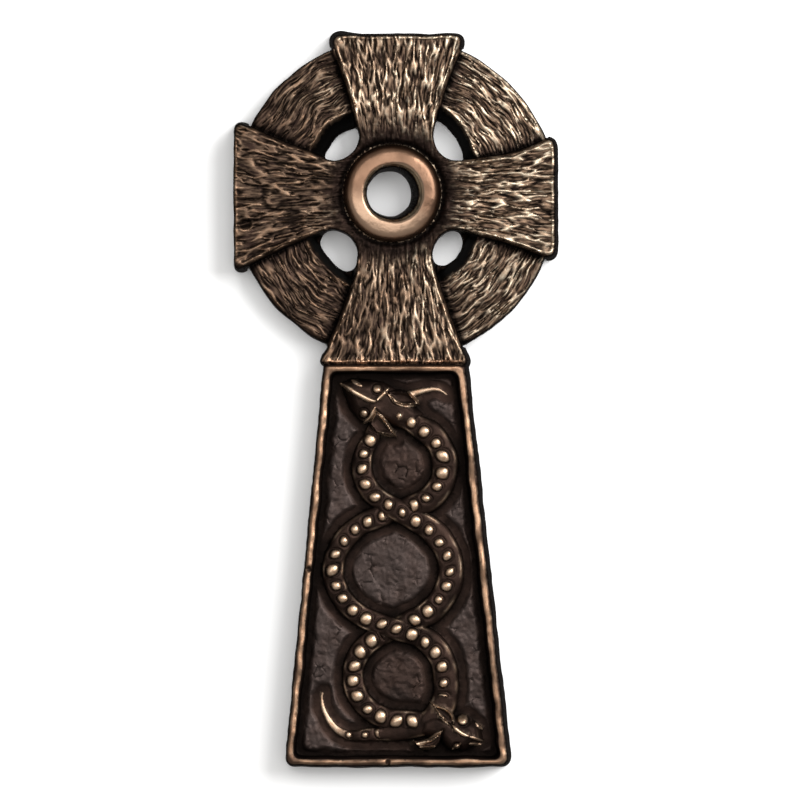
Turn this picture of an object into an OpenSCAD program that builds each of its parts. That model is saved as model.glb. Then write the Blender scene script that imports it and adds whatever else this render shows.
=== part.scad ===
// Ringed cross wall plaque: one bronze casting, a flared cross on a ring, standing on a
// tapered shaft whose sunk panel holds two entwined serpents.
// +Z is up, the front faces -Y and the flat back lies in Y = 0. The origin is at the mouth
// of the hanging hole. The plan is drawn flat, back down, with the middle of the cross at
// its origin, and is stood up and moved at the end.

/* [Cross head] */
// From the middle of the cross to the end of the upper arm
top_reach = 49; // [44:0.5:58]
// From the middle of the cross to the ends of the side arms
side_reach = 48.8; // [44:0.5:58]
// Half width of the arms where they are narrowest
waist_half = 11.1; // [9:0.1:13]
// Radius of the hollow corner between two arms
armpit_r = 7.4; // [5:0.1:9]
// Half width of the upper arm at its end
top_half = 20.3; // [16:0.1:24]
// How far the left arm's end rises above the middle line
left_rise = 21.5; // [16:0.1:25]
// How far the left arm's end hangs below the middle line
left_drop = 23.2; // [16:0.1:27]
// How far the right arm's end rises above the middle line
right_rise = 17.2; // [16:0.1:24]
// How far the right arm's end hangs below the middle line
right_drop = 19.6; // [16:0.1:24]
// Radius of the corners at the arms' ends
corner_r = 2.2; // [1:0.1:3]
// Thickness of the arms, from the back to the lip along their edges
arm_t = 12; // [10:0.1:14]
// How far the side walls lean in between the back and the front
wall_lean = 1.3; // [0.5:0.1:2]
// Width of the raised lip along the arms' edges
lip_w = 1.1; // [0.6:0.1:2]
// How far the arms' faces are sunk below their lip
lip_h = 0.7; // [0.2:0.1:1.2]

/* [Ring] */
// Outer radius of the ring at the back
ring_r = 48.4; // [44:0.2:56]
// Inner radius of the ring at its front edge
ring_front_r = 30.4; // [28:0.2:34]
// Inner radius of the ring at the back
ring_back_r = 26; // [23:0.2:28]
// Thickness of the ring
ring_t = 9.2; // [7:0.1:10]
// How far the middle of the ring lies right of the middle of the cross
ring_shift = 0.2; // [0:0.1:1]
// How far the middle of the ring lies below the middle of the cross
ring_sink = 0.7; // [0:0.1:1]

/* [Boss] */
// Outer radius of the ring-shaped boss
boss_r = 14.6; // [12.5:0.1:17]
// Radius of the hole through the boss
boss_hole_r = 7.6; // [6:0.1:9.2]
// Height of the boss above the arms
boss_h = 2.8; // [1.5:0.1:4]

/* [Shaft] */
// From the middle of the cross to the ledge at the head of the shaft
ledge_drop = 50.9; // [49:0.1:60]
// From the ledge to the foot of the shaft
shaft_len = 120.7; // [100:0.1:145]
// Width of the shaft at the ledge
shoulder_w = 43.4; // [38:0.1:52]
// Width of the shaft at the foot
foot_w = 68.4; // [58:0.1:82]
// How far the middle of the foot lies right of the middle line
foot_shift = 1.3; // [0:0.1:2]
// Thickness of the shaft
shaft_t = 12; // [10:0.1:14]
// Width of the border round the panel
border_w = 1.7; // [1:0.1:3]
// How far the panel is sunk below the border
panel_sink = 3.6; // [2.5:0.1:4.5]
// Width of the groove between the lower arm and the border
groove_w = 0.8; // [0.4:0.1:1.2]
// Depth of that groove
groove_d = 0.9; // [0.4:0.1:1.5]

/* [Serpents] */
// Radius of the upper loop, to the middle of the body
upper_loop_r = 12.2; // [10:0.1:15]
// Radius of the middle loop
middle_loop_r = 16.5; // [13:0.1:20]
// Radius of the lower loop
lower_loop_r = 13.2; // [11:0.1:16]
// Room between the upper and the middle loop, where the bodies cross
upper_cross_gap = 2.7; // [2:0.1:5]
// Room between the middle and the lower loop
lower_cross_gap = 2.2; // [2:0.1:5]
// Room for the head above the upper loop
head_room = 16; // [14:0.1:20]
// Room for the head below the lower loop
tail_room = 12; // [10:0.1:16]
// Half width of a body
body_half = 3.3; // [2.6:0.1:4]
// Height of a body above the panel
body_h = 2.7; // [2:0.1:3.4]
// How far a body dips under the other one, and rises over it
weave_h = 0.9; // [0.4:0.1:1.4]
// Height of the studs along a body
stud_h = 1.1; // [0.5:0.1:1.6]
// Distance from one stud to the next
stud_step = 4.7; // [3.8:0.1:6]

/* [Hanging hole] */
// Radius of the hole in the back
hang_r = 3; // [2:0.1:4]
// Depth of the hole
hang_depth = 8; // [5:0.1:8.5]
// From the middle of the cross up to the hole
hang_rise = 36; // [30:0.5:40]

/* [Hidden] */
bronze = "#6b4a38";
cut = 1; // how far a cutting tool runs past the face it cuts
root = 1.2; // how far the relief reaches into the ground that it stands on
edge_r = 0.4; // how far the front edges are rounded back
side_steps = 10; // straight runs along one side of an arm
arc_steps = 4; // straight runs along a rounded corner
crown_steps = 12; // straight runs across the boss
section_steps = 4; // straight runs over the back of a body
loop_steps = 16; // straight runs round one side of a loop
stud_sections = 4; // cross-sections of a body from one stud to the next
ring_crown = 0.5; // the ring's face is this much higher inside than outside
knot_margin = 4; // least room beside the serpents, both sides together
weave_reach = 7; // how far from a crossing a body dips or rises
tail_len = 42; // the last stretch of a body, over which it thins

foot_z = -ledge_drop - shaft_len;
foot_half = (shoulder_w - groove_w) / 2; // half width of the lower arm at its foot
panel_top = -ledge_drop - groove_w / 2 - border_w;
panel_foot = foot_z + wall_lean + border_w;
panel_len = panel_top - panel_foot;
panel_z = shaft_t - panel_sink;
mid_w = (foot_w + shoulder_w) / 2 - 2 * (wall_lean + border_w);

// The serpents' own length and width, and the scale at which they fill the panel.
knot_len = head_room + 2 * (upper_loop_r + middle_loop_r + lower_loop_r)
    + upper_cross_gap + lower_cross_gap + tail_room;
knot_w = 2 * (middle_loop_r + body_half);
knot_scale = min(panel_len / knot_len, (mid_w - knot_margin) / knot_w);

// Middles of the three loops, with the middle of the serpents' length at zero.
upper_mid = [2.7, knot_len / 2 - head_room - upper_loop_r];
middle_mid = [-0.6, upper_mid.y - upper_loop_r - upper_cross_gap - middle_loop_r];
lower_mid = [1.2, middle_mid.y - middle_loop_r - lower_cross_gap - lower_loop_r];

// --- Outlines ---

function turned(p, a) = [p.x * cos(a) - p.y * sin(a), p.x * sin(a) + p.y * cos(a)];
function reversed(list) = [for (k = [len(list) - 1:-1:0]) list[k]];
function mirrored(side) = reversed([for (p = side) [p.x, -p.y]]);
function arc(mid, r, from, to, steps) =
    [for (k = [0:steps]) let (a = from + (to - from) * k / steps)
        mid + r * [cos(a), sin(a)]];

// One side of an arm that points along +X, from the hollow corner out to the arm's end.
// The arm widens from its waist to half, slowly at first where bend is above 1.
function arm_side(reach, corner, half, bend, inset) =
    let (
        pit = waist_half + armpit_r,
        flare_end = reach - corner,
        tip = half - inset,
        waist = waist_half - inset
    )
    concat(
        arc([pit, pit], armpit_r + inset, 225, 270, arc_steps),
        [for (k = [1:side_steps]) let (t = k / side_steps)
            [pit + (flare_end - pit) * t, waist + (tip - waist) * pow(t, bend)]],
        arc([flare_end, tip - corner], corner, 75, 0, arc_steps)
    );
side_points = side_steps + 2 * (arc_steps + 1);

// Both sides of an arm. The hollow corner's own point is left to the next arm.
function arm_outline(angle, reach, corner, right, left, right_bend, left_bend, inset) =
    let (left_side = reversed(arm_side(reach, corner, left, left_bend, inset)))
    [for (p = concat(
        mirrored(reversed(arm_side(reach, corner, right, right_bend, inset))),
        [for (k = [0:side_points - 2]) left_side[k]]
    )) turned(p, angle)];

// The four arms in one outline. The lower arm's reach is given.
function head_outline(inset, foot_reach) =
    let (side_end = side_reach - inset, top_end = top_reach - inset)
    concat(
        arm_outline(0, side_end, corner_r, right_drop, right_rise, 1.1, 1.7, inset),
        arm_outline(90, top_end, corner_r, top_half, top_half, 1.2, 1.05, inset),
        arm_outline(180, side_end, corner_r, left_rise, left_drop, 1.15, 1.2, inset),
        arm_outline(270, foot_reach, groove_w / 2, foot_half, foot_half, 1.5, 1.2, inset)
    );

// The shaft widens from top to its foot, with rounded corners at the foot.
function shaft_outline(inset, top) =
    let (
        low = foot_z + inset,
        narrow = shoulder_w / 2 - inset,
        wide = foot_w / 2 - inset,
        t = (-ledge_drop - top) / shaft_len,
        half = narrow + (wide - narrow) * t,
        mid = foot_shift * t
    )
    concat(
        [[mid - half, top]],
        arc([foot_shift - wide + corner_r, low + corner_r], corner_r, 180, 270, arc_steps),
        arc([foot_shift + wide - corner_r, low + corner_r], corner_r, 270, 360, arc_steps),
        [[mid + half, top]]
    );

// --- Solids made from outlines ---

// Four-cornered faces that fill an outline of n points, or one arm of it, from the point
// numbered first to the one numbered last, as rungs fill a ladder.
function ladder(first, last, n) = [for (k = [0:(last - first - 3) / 2])
    [first + k, first + k + 1, last - k - 1, (last - k) % n]];

// A closed solid through outlines of equal length, each given as [points, height]. The
// faces of its underside are given, and its top has the same ones.
module loft(levels, underside) {
    n = len(levels[0][0]);
    top = len(levels) - 1;
    points = [for (level = levels) for (p = level[0]) [p.x, p.y, level[1]]];
    walls = [for (l = [0:top - 1]) for (k = [0:n - 1])
        let (a = l * n + k, b = l * n + (k + 1) % n)
        each [[a, a + n, b + n], [a, b + n, b]]];
    face = [for (rung = underside) [for (k = reversed(rung)) top * n + k]];
    polyhedron(points, concat(underside, walls, face));
}

function unit(v) = v / norm(v);

// A cross-section: upright sides, a round back and, where stud is above 0, a stud on it.
function section(place, across, half, height, stud) = concat(
    [[place.x + across.x * half, place.y + across.y * half, -root]],
    [for (k = [0:section_steps])
        let (c = cos(180 * k / section_steps), up = sin(180 * k / section_steps))
        [place.x + across.x * half * c,
         place.y + across.y * half * c,
         height * (0.35 + 0.65 * up) + stud * pow(up, 3)]],
    [[place.x - across.x * half, place.y - across.y * half, -root]]
);

// A strand through stations [place, half width, height, stud], rooted below the ground.
module strand(stations) {
    last = len(stations) - 1;
    n = section_steps + 3;
    points = [for (k = [0:last])
        let (
            s = stations[k],
            way = unit(stations[min(k + 1, last)][0] - stations[max(k - 1, 0)][0])
        )
        each section(s[0], [-way.y, way.x], s[1], s[2], s[3])];
    skin = [for (l = [0:last - 1]) for (k = [0:n - 1])
        let (a = l * n + k, b = l * n + (k + 1) % n)
        each [[a, b + n, b], [a, a + n, b + n]]];
    start_face = [for (k = [0:n - 1]) k];
    end_face = [for (k = [n - 1:-1:0]) last * n + k];
    polyhedron(points, concat([start_face], skin, [end_face]));
}

// --- Paths of the serpents ---

// The loops are joined as a crossed belt joins its pulleys: it leaves each one this far
// from the line between their middles.
function belt_angle(mid_a, r_a, mid_b, r_b) = acos((r_a + r_b) / norm(mid_b - mid_a));
function heading(from, to) = atan2(to.y - from.y, to.x - from.x);

// side 1 runs down the right of the upper loop, the left of the middle one and the right
// of the lower one. side -1 is the other serpent.
function knot_path(side, start, finish) =
    let (
        full = 360,
        half = 180,
        up = heading(upper_mid, middle_mid)
            + side * belt_angle(upper_mid, upper_loop_r, middle_mid, middle_loop_r),
        low = heading(middle_mid, lower_mid)
            - side * belt_angle(middle_mid, middle_loop_r, lower_mid, lower_loop_r)
    )
    concat(
        arc(upper_mid, upper_loop_r, start, side > 0 ? up : up + full, loop_steps),
        arc(middle_mid, middle_loop_r, up + half, side > 0 ? low + full : low, loop_steps),
        arc(lower_mid, lower_loop_r, low + half, finish, loop_steps)
    );

// Cuts the corners of a path, so that it bends gently from one point to the next.
function rounded(path, times) = times == 0 ? path : rounded(
    concat(
        [path[0]],
        [for (k = [0:len(path) - 2]) for (t = [0.25, 0.75])
            path[k] * (1 - t) + path[k + 1] * t],
        [path[len(path) - 1]]
    ), times - 1);

// Neck of the first serpent, then its loops, then its tail round the foot of the panel.
first_path = rounded(concat(
    [for (p = [[-3.5, 16.2], [-1, 15.1], [2.2, 13.6]]) upper_mid + p],
    knot_path(1, 60, 0),
    [for (p = [[14, -4.6], [12.6, -9.8], [8, -14.6], [0.6, -17.2], [-7.8, -17.4],
               [-14.4, -18], [-18.6, -16.2], [-21.6, -12.4], [-23, -6]]) lower_mid + p]
), 2);
// Neck of the second serpent, then its loops from the foot up, then its tail.
second_path = rounded(concat(
    [for (p = [[10, -14.4], [5, -13.7]]) lower_mid + p],
    reversed(knot_path(-1, 140, 262)),
    [for (p = [[-8.4, 11.4], [-5.6, 15.6], [-1.6, 19.4], [3, 21.8], [8, 23.1], [11.4, 22.8],
               [14, 21]]) upper_mid + p]
), 2);

// Running length at each point of a path, and the point at a given length.
function lengths(path, k = 0, sum = 0) = k == len(path) - 1
    ? [sum]
    : concat([sum], lengths(path, k + 1, sum + norm(path[k + 1] - path[k])));
function place_at(path, run, s, k = 0) = (k == len(path) - 2 || run[k + 1] > s)
    ? path[k] + (path[k + 1] - path[k]) * (s - run[k]) / (run[k + 1] - run[k])
    : place_at(path, run, s, k + 1);

// Where the two bodies cross.
function crossing(mid_a, r_a, mid_b, r_b) = mid_a + (mid_b - mid_a) * r_a / (r_a + r_b);
upper_cross = crossing(upper_mid, upper_loop_r, middle_mid, middle_loop_r);
lower_cross = crossing(middle_mid, middle_loop_r, lower_mid, lower_loop_r);
function hump(p, mid) =
    let (d = norm(p - mid) / weave_reach) d >= 1 ? 0 : (1 + cos(180 * d)) / 2;
// The first serpent dips at the upper crossing and rises at the lower one.
function weave(p, order) = order * weave_h * (hump(p, lower_cross) - hump(p, upper_cross));

// A body thins to its tail over its last stretch.
function taper(left) = pow(min(1, (left + 1) / tail_len), 0.7);

// Studs stand all along a body, but for where it passes under and for the tip of its tail.
module serpent(path, order) {
    run = lengths(path);
    total = run[len(run) - 1];
    count = round(total / stud_step) * stud_sections;
    strand([for (k = [0:count])
        let (
            s = total * k / count,
            p = place_at(path, run, s),
            thin = taper(total - s),
            lift = weave(p, order),
            bare = k == 0 || lift < -weave_h / 3 || thin < 0.4
        )
        [p, body_half * thin, body_h * thin + lift,
            bare ? 0 : stud_h * thin * (1 + cos(360 * k / stud_sections)) / 2]]);
}

// --- Heads ---

// A petal from its root to its tip, for an ear.
module petal(from, tip, half, height) {
    steps = 6;
    strand([for (k = [0:steps]) let (t = k / steps)
        [from + (tip - from) * t, half * (0.15 + sin(180 * pow(t, 0.6))),
            height * (1 - 0.5 * t), 0]]);
}

// A wedge-shaped head seen from above, along +X from the neck, with two eyes.
module serpent_head(length, half, height) {
    shape = [[0, 0.66, 0.8], [0.2, 0.8, 0.95], [0.42, 1, 1], [0.55, 0.96, 0.98],
        [0.72, 0.62, 0.82], [0.88, 0.4, 0.7], [0.96, 0.26, 0.55], [1, 0.12, 0.35]];
    strand([for (s = shape) [[length * s[0], 0], half * s[1], height * s[2], 0]]);
    for (side = [-1, 1])
        translate([length * 0.5, side * half * 0.6, height * 0.4])
            cylinder(h = height * 0.6, r1 = half * 0.27, r2 = half * 0.15, $fn = 24);
}

module knot() {
    head_h = body_h + 0.8;
    serpent(first_path, 1);
    serpent(second_path, -1);
    translate(upper_mid) {
        translate([-1, 15.8]) rotate(154) serpent_head(19.5, 5, head_h);
        petal([-5.5, 22.2], [5, 18.6], 1.7, head_h);
        petal([-8, 16.4], [-2, 8.8], 2.3, head_h);
    }
    translate(lower_mid) {
        translate([8.6, -14.2]) rotate(-17) serpent_head(17.3, 4.8, head_h);
        petal([16.6, -13.6], [9.2, -7.4], 1.7, head_h);
        petal([13.4, -17.2], [6, -21.4], 1.7, head_h);
    }
}

// --- Sub-parts, drawn flat ---

module ring() {
    translate([ring_shift, -ring_sink])
        rotate_extrude($fn = 96)
            polygon([
                [ring_back_r, 0],
                [ring_r, 0],
                [ring_r - wall_lean * 0.6, ring_t - ring_crown - edge_r],
                [ring_r - wall_lean, ring_t - ring_crown],
                [ring_front_r + edge_r, ring_t],
                [ring_front_r, ring_t - edge_r]
            ]);
}

module arms() {
    foot_reach = ledge_drop + groove_w / 4;
    arm_points = 2 * side_points - 1;
    hub = [for (arm = [0:3]) arm * arm_points];
    rungs = [for (first = hub) each ladder(first, first + arm_points, 4 * arm_points)];
    difference() {
        loft([
            [head_outline(0, foot_reach), 0],
            [head_outline(wall_lean * 0.7, foot_reach), arm_t * 0.8],
            [head_outline(wall_lean, foot_reach), arm_t - edge_r],
            [head_outline(wall_lean + edge_r, foot_reach), arm_t]
        ], concat([hub], rungs));
        translate([0, 0, arm_t - lip_h])
            linear_extrude(lip_h + cut)
                polygon(head_outline(wall_lean + edge_r + lip_w,
                    ledge_drop - groove_w / 2 - lip_w));
    }
}

module boss() {
    mid_r = (boss_r + boss_hole_r) / 2;
    half = (boss_r - boss_hole_r) / 2;
    low = arm_t - lip_h - boss_h / 4;
    crown = arm_t + boss_h - low;
    // The inner side goes up straight to the edge of the hole, and past
    // the hole's wall, so that the hole cuts it clean.
    edge = low + crown * 0.6;
    inner = boss_hole_r - 1;
    rotate_extrude($fn = 96)
        polygon(concat(
            [for (k = [0:crown_steps]) let (
                a = 180 * k / crown_steps,
                r = mid_r + half * cos(a),
                z = low + crown * sin(a)
            ) [a > 90 && z < edge ? inner : r, z]],
            [[inner, low - root], [mid_r + half, low - root]]
        ));
}

module shaft() {
    difference() {
        loft([
            [shaft_outline(0, -ledge_drop), 0],
            [shaft_outline(wall_lean, -ledge_drop), shaft_t - edge_r],
            [shaft_outline(wall_lean + edge_r, -ledge_drop), shaft_t]
        ], ladder(0, 2 * arc_steps + 3, 2 * arc_steps + 4));
        translate([0, 0, panel_z])
            linear_extrude(panel_sink + cut)
                polygon(shaft_outline(wall_lean + border_w, panel_top));
    }
}

module groove() {
    translate([-foot_w / 2, -ledge_drop - groove_w / 2, shaft_t - groove_d])
        cube([foot_w, groove_w, groove_d + cut]);
}

module ringed_cross() {
    color(bronze)
    translate([0, 0, -hang_rise]) rotate([90, 0, 0])
    difference() {
        union() {
            ring();
            arms();
            boss();
            shaft();
            translate([foot_shift / 2, (panel_top + panel_foot) / 2, panel_z])
                scale(knot_scale) knot();
        }
        groove();
        translate([0, 0, -cut])
            cylinder(r = boss_hole_r, h = arm_t + boss_h + 2 * cut, $fn = 96);
        translate([0, hang_rise, -cut])
            cylinder(r = hang_r, h = hang_depth + cut, $fn = 48);
    }
}

ringed_cross();
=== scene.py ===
import math

import bpy
import numpy as np
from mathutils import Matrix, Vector
from mathutils.geometry import delaunay_2d_cdt


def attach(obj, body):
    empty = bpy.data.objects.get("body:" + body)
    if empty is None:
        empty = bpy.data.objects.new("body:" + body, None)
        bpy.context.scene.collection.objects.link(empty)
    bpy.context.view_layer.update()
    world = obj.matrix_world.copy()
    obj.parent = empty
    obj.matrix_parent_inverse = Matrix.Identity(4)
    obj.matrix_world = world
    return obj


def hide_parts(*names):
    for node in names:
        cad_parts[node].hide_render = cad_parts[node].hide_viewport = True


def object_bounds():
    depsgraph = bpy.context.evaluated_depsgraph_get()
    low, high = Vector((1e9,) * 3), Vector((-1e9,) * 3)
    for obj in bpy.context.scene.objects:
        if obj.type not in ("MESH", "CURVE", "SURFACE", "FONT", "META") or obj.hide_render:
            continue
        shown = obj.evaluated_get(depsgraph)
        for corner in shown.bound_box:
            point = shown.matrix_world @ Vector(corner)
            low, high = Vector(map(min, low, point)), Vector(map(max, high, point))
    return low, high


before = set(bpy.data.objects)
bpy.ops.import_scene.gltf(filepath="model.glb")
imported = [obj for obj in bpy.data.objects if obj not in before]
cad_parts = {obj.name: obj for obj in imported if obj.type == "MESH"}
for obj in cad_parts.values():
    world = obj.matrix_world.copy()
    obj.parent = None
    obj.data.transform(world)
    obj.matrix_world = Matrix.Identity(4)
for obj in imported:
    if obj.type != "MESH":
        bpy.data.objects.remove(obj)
lowCorner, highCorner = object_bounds()

# One bronze casting. The plan is worked in millimetres from the middle of the cross,
# x to the right and y up, and the relief is a height in front of the flat back.
cross = {
    "grid": 0.22,                 # spacing of the relief's samples
    "triangles": 192000,
    "topReach": 49.0,             # from the middle up to the very top
    "armHeight": 12.0,
    "ringHeight": 9.0,
    "ringMiddle": (0.4, -0.7),
    "ringOuter": 48.3,
    "armEnds": (48.0, 47.8, 47.9, 50.35),   # right, upper, left, lower
    "cornerRound": 3.0,
    "pitRadius": 8.0,
    "bossMiddle": (-0.5, 0.6),
    "bossOuter": 14.6,
    "bossHole": 8.0,
    "bossHeight": 2.8,
    "shaftTop": -50.4,
    "shaftFoot": -171.0,
    "shaftLeft": (-20.7, -32.5),  # at the ledge and at the foot
    "shaftRight": (20.9, 34.1),
    "border": 1.9,
    "panelTop": -52.7,
    "panelFoot": -169.3,
    "panelSink": 3.6,
    "nicks": ((-25.6, -112.2), (-1.8, -170.2)),  # where the border took a knock
    "pit": (-44.6, -8.8),         # a round pit in the left arm
    "hangUp": 36.0,               # the hanging hole, from the middle of the cross
    "hangRadius": 3.0,
    "hangDepth": 8.0,
}

# Waist, end half width and how late the edge swings out, for the side arm and the upright
# arm that bound each quarter.
quarters = {
    (1, 1): ((10.2, 16.7, 2.3), (11.5, 20.3, 1.35)),
    (-1, 1): ((10.3, 21.6, 1.25), (10.2, 18.4, 1.2)),
    (-1, -1): ((10.1, 22.1, 1.35), (10.6, 20.3, 1.5)),
    (1, -1): ((10.1, 18.3, 1.3), (11.2, 20.4, 1.35)),
}


# Patterns, all worked in millimetres.
def hashed(i, j, seed):
    n = (i * 374761393 + j * 668265263 + seed * 974634777) & 0xFFFFFFFF
    n = ((n ^ (n >> 13)) * 1274126177) & 0xFFFFFFFF
    return ((n ^ (n >> 16)) & 0xFFFFFF) / 0xFFFFFF


def noise(x, y, seed):
    i, j = np.floor(x), np.floor(y)
    fx, fy = x - i, y - j
    i, j = i.astype(np.int64), j.astype(np.int64)

    def corner(a, b):
        turn = hashed(i + a, j + b, seed) * 2 * math.pi
        return np.cos(turn) * (fx - a) + np.sin(turn) * (fy - b)

    wx, wy = (f * f * f * (f * (f * 6 - 15) + 10) for f in (fx, fy))
    near = corner(0, 0) * (1 - wx) + corner(1, 0) * wx
    far = corner(0, 1) * (1 - wx) + corner(1, 1) * wx
    return 1.5 * (near * (1 - wy) + far * wy)


# 0 on the lines between staggered cells, rising towards their middles.
def cells(x, y, seed):
    i, j = np.floor(x).astype(np.int64), np.floor(y).astype(np.int64)
    first = np.full(x.shape, 9.0)
    second = first.copy()
    for a in (-1, 0, 1):
        for b in (-2, -1, 0, 1):
            px = i + a + 0.5 + 0.7 * (hashed(i + a, j + b, seed) - 0.5)
            py = j + b + 0.5 + 0.5 * ((i + a) & 1) + 0.8 * (hashed(i + a, j + b, seed + 7) - 0.5)
            far = (px - x) ** 2 + (py - y) ** 2
            second = np.minimum(second, np.maximum(first, far))
            first = np.minimum(first, far)
    return np.sqrt(second) - np.sqrt(first)


def ease(low, high, x):
    t = np.clip((x - low) / (high - low), 0, 1)
    return t * t * (3 - 2 * t)


def roundMin(a, b, r):
    h = np.maximum(r - np.abs(a - b), 0) / r
    return np.minimum(a, b) - h * h * r / 4


def roundMax(a, b, r):
    return -roundMin(-a, -b, r)


# Gaussian average over the cast only.
def blurred(field, mask, size):
    fy = np.fft.fftfreq(field.shape[0])[:, None]
    fx = np.fft.rfftfreq(field.shape[1])[None, :]
    keep = np.exp(-2 * (math.pi * size / cross["grid"]) ** 2 * (fx * fx + fy * fy))
    soft = [np.fft.irfft2(np.fft.rfft2(f) * keep, field.shape) for f in (field * mask, mask * 1.0)]
    return soft[0] / np.maximum(soft[1], 1e-3)


# Outlines, each as the depth inside it.
def armDepth(x, y):
    out = np.full(x.shape, -99.0)
    for (sx, sy), (side, upright) in quarters.items():
        here = (x * sx >= 0) & (y * sy >= 0)
        px, py = x[here] * sx, y[here] * sy
        r = cross["pitRadius"]
        cx, cy = upright[0] + r, side[0] + r

        def edge(along, across, start, shape):
            waist, tip, late = shape
            span = 46.7 - start
            t = np.clip((along - start) / span, 0, 1.1)
            half = waist + (tip - waist) * t ** late
            slope = (tip - waist) * late * np.maximum(t, 1e-6) ** (late - 1) / span
            return (half - across) / np.sqrt(1 + slope * slope)

        bySide, byUpright = edge(px, py, cx, side), edge(py, px, cy, upright)
        pit = np.hypot(px - cx, py - cy) - r
        depth = np.where((px > cx) & (py > cy), np.maximum(bySide, byUpright),
                         np.where(px > cx, bySide, np.where(py > cy, byUpright, pit)))
        out[here] = depth
    right, upper, left, lower = cross["armEnds"]
    wander = 0.35 * noise(x / 9, y / 9, 3)
    out += 0.22 * noise(x / 4.5, y / 4.5, 4) * ease(14, 24, np.hypot(x, y))
    for end in (right - x, upper - y + 0.3 * noise(x / 8, y / 20, 5), left + x):
        out = roundMin(out, end + wander * 0.6, cross["cornerRound"])
    return roundMin(out, lower + y + 0.12 * noise(x / 5, y / 30, 8), 0.8)


def ringPlace(x, y):
    dx, dy = x - cross["ringMiddle"][0], y - cross["ringMiddle"][1]
    return np.hypot(dx, dy), np.arctan2(dy, dx)


# Inner radius of the ring at the back, and the width of the wall that slopes up from there to
# its front edge, each against the direction from the middle, in degrees.
ringBack = ((31, 24.2), (45, 26.2), (60, 27.2), (117, 24.8), (132, 25.9), (150, 25.2),
            (210, 27.0), (238, 27.4), (303, 25.8), (316, 26.1), (330, 24.6))
ringSlope = ((45, 3.2), (135, 4.4), (225, 2.2), (315, 3.0))


def ringInner(turn, table=ringBack):
    places, sizes = zip(*table)
    return np.interp(np.degrees(turn), places, sizes, period=360)


def shaftLines(x, y, inset):
    t = (y - cross["shaftTop"]) / (cross["shaftFoot"] - cross["shaftTop"])
    left = cross["shaftLeft"][0] + (cross["shaftLeft"][1] - cross["shaftLeft"][0]) * t
    right = cross["shaftRight"][0] + (cross["shaftRight"][1] - cross["shaftRight"][0]) * t
    return x - left - inset, right - x - inset


def shaftDepth(x, y):
    left, right = shaftLines(x, y, 0)
    left = left + 0.22 * noise(x / 40, y / 7, 11) + 0.1 * noise(x / 30, y / 2.5, 12)
    right = right + 0.22 * noise(x / 40, y / 8, 13) + 0.1 * noise(x / 30, y / 3, 14)
    foot = y - cross["shaftFoot"] + 0.3 * noise(x / 8, y / 40, 15)
    out = roundMin(roundMin(left, right, 1), foot, 2.6)
    return roundMin(out, cross["shaftTop"] + 1.5 - y, 0.6)


def panelDepth(x, y):
    left, right = shaftLines(x, y, cross["border"])
    left = left + 0.3 * noise(x / 40, y / 6, 21) + 0.12 * noise(x / 40, y / 2.2, 22)
    right = right + 0.3 * noise(x / 40, y / 6.5, 23) + 0.12 * noise(x / 40, y / 2.4, 24)
    foot = y - cross["panelFoot"] + 0.3 * noise(x / 6, y / 40, 25)
    top = cross["panelTop"] - y + 0.15 * noise(x / 7, y / 40, 26)
    return roundMin(roundMin(left, right, 1), roundMin(foot, top, 1), 2.2)


# Depth outside the hole through the boss.
def holeDepth(x, y):
    bx, by = cross["bossMiddle"]
    return np.hypot(x - bx, y - by) - cross["bossHole"] - 0.15 * noise(x / 6, y / 6, 31)


def frontDepth(x, y):
    r, turn = ringPlace(x, y)
    ring = np.minimum(cross["ringOuter"] + 0.35 * noise(turn * 6, r / 50, 32) - r,
                      r - ringInner(turn) + 0.2 * noise(turn * 9, r / 50, 33))
    right, upper, left, lower = cross["armEnds"]
    ring = np.minimum(np.minimum(ring, right - 0.8 - x), np.minimum(left - 0.8 + x, upper - 0.8 - y))
    fillet = 1.4 + ease(31, 28, r) * (0.6 + 4.4 * ease(2, -4, y))
    out = roundMax(roundMax(armDepth(x, y), ring, fillet), shaftDepth(x, y), 1.4)
    return np.minimum(out, holeDepth(x, y))


def slopeOf(depth, x, y):
    e = 0.02
    gx = (depth(x + e, y) - depth(x - e, y)) / (2 * e)
    gy = (depth(x, y + e) - depth(x, y - e)) / (2 * e)
    size = np.maximum(np.hypot(gx, gy), 1e-6)
    return gx / size, gy / size, size


# The two entwined serpents, worked in the same plan.
serpents = {
    "loops": ((2.5, -81.3, 12.2), (-0.9, -112.7, 16.3), (1.2, -144.5, 13.2)),
    "wider": (0.0, 0.07, 0.03),   # share by which each loop is wider than a circle
    "half": 3.3,
    "height": 2.3,
    "weave": 0.9,
    "weaveReach": 7.0,
    "studHeight": 1.15,
    "studStep": 4.72,
    "tail": 42.0,
    # Necks and tails, from the middle of the upper or the lower loop.
    "firstNeck": ((-3.5, 16.2), (-1, 15.1), (2.2, 13.6)),
    "firstTail": ((14, -4.6), (12.6, -9.8), (8, -14.6), (0.6, -17.1), (-7.8, -17.4), (-14, -18.2),
                  (-18.4, -16.4), (-21.6, -12.2), (-23.1, -7.6), (-22.6, -4.4)),
    "secondNeck": ((10, -14.4), (5, -13.7)),
    "secondTail": ((-8.4, 11.4), (-5.6, 15.6), (-1.6, 19.4), (2.4, 21.6), (7.5, 23), (11, 23.1),
                   (13.8, 21.1)),
}


def arcPoints(mid, start, finish, count=60):
    turn = np.radians(np.linspace(start, finish, count))
    return np.stack([mid[0] + mid[2] * np.cos(turn), mid[1] + mid[2] * np.sin(turn)], 1)


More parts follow.
